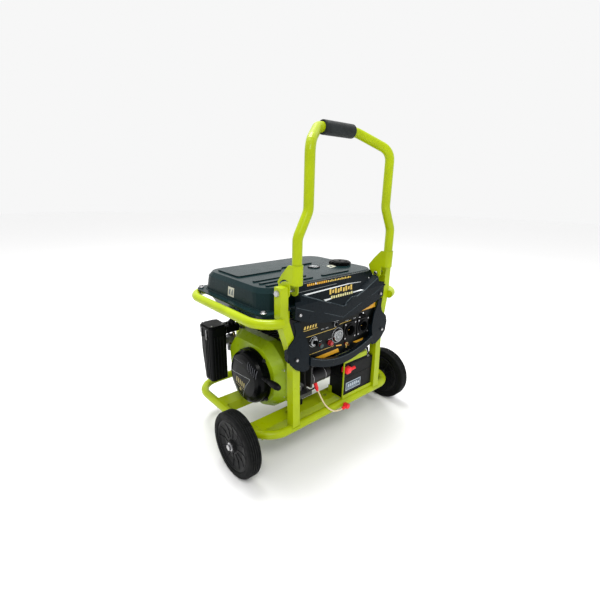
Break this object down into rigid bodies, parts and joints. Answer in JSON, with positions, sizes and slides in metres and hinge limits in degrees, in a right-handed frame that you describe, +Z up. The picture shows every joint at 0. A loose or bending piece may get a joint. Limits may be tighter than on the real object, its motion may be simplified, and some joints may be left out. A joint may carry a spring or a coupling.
{
  "type": "portable generator",
  "caption": "Petrol generator in a tube frame with rear-folding pull handle, road wheels, top fuel tank, front control panel and starting battery.",
  "frame": {"origin": "on the ground under the middle of the tube frame, at the centre of the bounding box's bottom", "axes": "+X to the right when facing the control panel, -Y out of the panel side, +Z up"},
  "size_m": [0.91, 0.571, 1.1725],
  "materials": {
    "lime_paint": "gloss powder coat",
    "plated_steel": "zinc plated",
    "black_rubber": "matte",
    "black_plastic": "fine grain",
    "slate_plastic": "satin moulded",
    "cast_aluminium": "as cast",
    "tyre_rubber": "matte",
    "tank_paint": "satin paint",
    "muffler_steel": "heat tinted",
    "dark_steel": "satin paint",
    "winding": "varnished laminations and copper",
    "red_rubber": "satin",
    "cream_cable": "satin",
    "grey_cable": "satin",
    "terminal_plastic": "gloss",
    "rope": "braided",
    "yellow_plastic": "gloss"
  },
  "bodies": {
    "frame": {"base_loop": "lime_paint", "cross_rails": "lime_paint", "upper_loop": "lime_paint", "frame_posts": "lime_paint", "axle_brackets": "lime_paint", "wheel_axle": "plated_steel", "support_leg": "lime_paint", "rubber_feet": "black_rubber", "hinge_bolts": "plated_steel", "handle_latches": "black_rubber", "fuel_tank": "tank_paint", "tank_pan": "tank_paint", "fuel_gauge": "black_plastic", "cover_bolts": "plated_steel", "panel_cover": "slate_plastic", "control_panel": "slate_plastic", "bow_bar": "slate_plastic", "corner_guards": "slate_plastic", "outlet_sockets": "black_plastic", "ignition_switch": "plated_steel", "voltmeter": "plated_steel", "panel_terminals": "terminal_plastic", "battery_tray": "lime_paint", "battery": "black_plastic", "battery_strap": "lime_paint", "battery_boot": "red_rubber", "battery_cable": "grey_cable", "loose_lead": "cream_cable", "lead_boot_root": "red_rubber", "lead_boot_end": "red_rubber", "crankcase": "cast_aluminium", "starter_motor": "dark_steel", "fan_cover": "lime_paint", "recoil_housing": "black_plastic", "cylinder_block": "cast_aluminium", "carburettor": "cast_aluminium", "air_filter_box": "black_plastic", "muffler": "muffler_steel", "alternator_housing": "cast_aluminium", "stator": "winding", "engine_mounts": "black_rubber"},
    "wheel_left": {"hub_left": "black_plastic", "tyre_left": "tyre_rubber"},
    "wheel_right": {"hub_right": "black_plastic", "tyre_right": "tyre_rubber"},
    "handle": {"handle_tube": "lime_paint", "handle_grip": "black_rubber", "handle_brackets": "lime_paint"},
    "starter": {"starter_grip": "black_plastic", "starter_rope": "rope"},
    "pulley": {"recoil_pulley": "cast_aluminium"},
    "crank": {"crankshaft": "plated_steel", "flywheel": "cast_aluminium", "rotor": "winding"},
    "filler_cap": {"fuel_cap": "black_plastic"},
    "oil_dipstick": {"dipstick": "yellow_plastic"},
    "key": {"ignition_key": "black_plastic"},
    "breaker": {"breaker_lever": "black_plastic"},
    "reset": {"reset_button": "black_plastic"},
    "choke": {"choke_lever": "black_plastic"}
  },
  "joints": [
    {"name": "wheel_left_spin", "type": "hinge", "parent": "frame", "child": "wheel_left", "pos_m": [-0.419, -0.165, 0.12], "axis": [1, 0, 0], "continuous": true},
    {"name": "wheel_right_spin", "type": "hinge", "parent": "frame", "child": "wheel_right", "pos_m": [0.419, -0.165, 0.12], "axis": [1, 0, 0], "continuous": true},
    {"name": "handle_fold", "type": "hinge", "parent": "frame", "child": "handle", "pos_m": [0, -0.222, 0.651], "axis": [-1, 0, 0], "range_deg": [0, 83]},
    {"name": "starter_pull", "type": "slide", "parent": "frame", "child": "starter", "axis": [0, -1, 0], "range_m": [0, 0.15], "stiffness_N_per_m": 60, "springref_m": -0.1},
    {"name": "pulley_spin", "type": "hinge", "parent": "frame", "child": "pulley", "pos_m": [-0.289, -0.05, 0.29], "axis": [1, 0, 0], "range_deg": [0, 270]},
    {"name": "crank_spin", "type": "hinge", "parent": "frame", "child": "crank", "pos_m": [0, -0.05, 0.29], "axis": [1, 0, 0], "continuous": true},
    {"name": "fuel_cap_turn", "type": "hinge", "parent": "frame", "child": "filler_cap", "pos_m": [0.232, -0.01, 0.652], "axis": [0, 0, 1], "range_deg": [0, 90]},
    {"name": "dipstick_pull", "type": "slide", "parent": "frame", "child": "oil_dipstick", "axis": [0, -1, 0], "range_m": [0, 0.06]},
    {"name": "key_turn", "type": "hinge", "parent": "frame", "child": "key", "pos_m": [-0.136, -0.249, 0.452], "axis": [0, 1, 0], "range_deg": [0, 80]},
    {"name": "breaker_flip", "type": "hinge", "parent": "frame", "child": "breaker", "pos_m": [0.123, -0.24, 0.497], "axis": [0, 0, 1], "range_deg": [0, 40]},
    {"name": "reset_press", "type": "slide", "parent": "frame", "child": "reset", "axis": [0, 1, 0], "range_m": [0, 0.003], "stiffness_N_per_m": 300, "springref_m": -0.0005},
    {"name": "choke_swing", "type": "hinge", "parent": "frame", "child": "choke", "pos_m": [-0.226, 0.172, 0.374], "axis": [0, 0, 1], "range_deg": [0, 60]}
  ],
  "couplings": [
    {"joint": "pulley_spin", "follows": "starter_pull", "rad_per_m": 31.25}
  ]
}
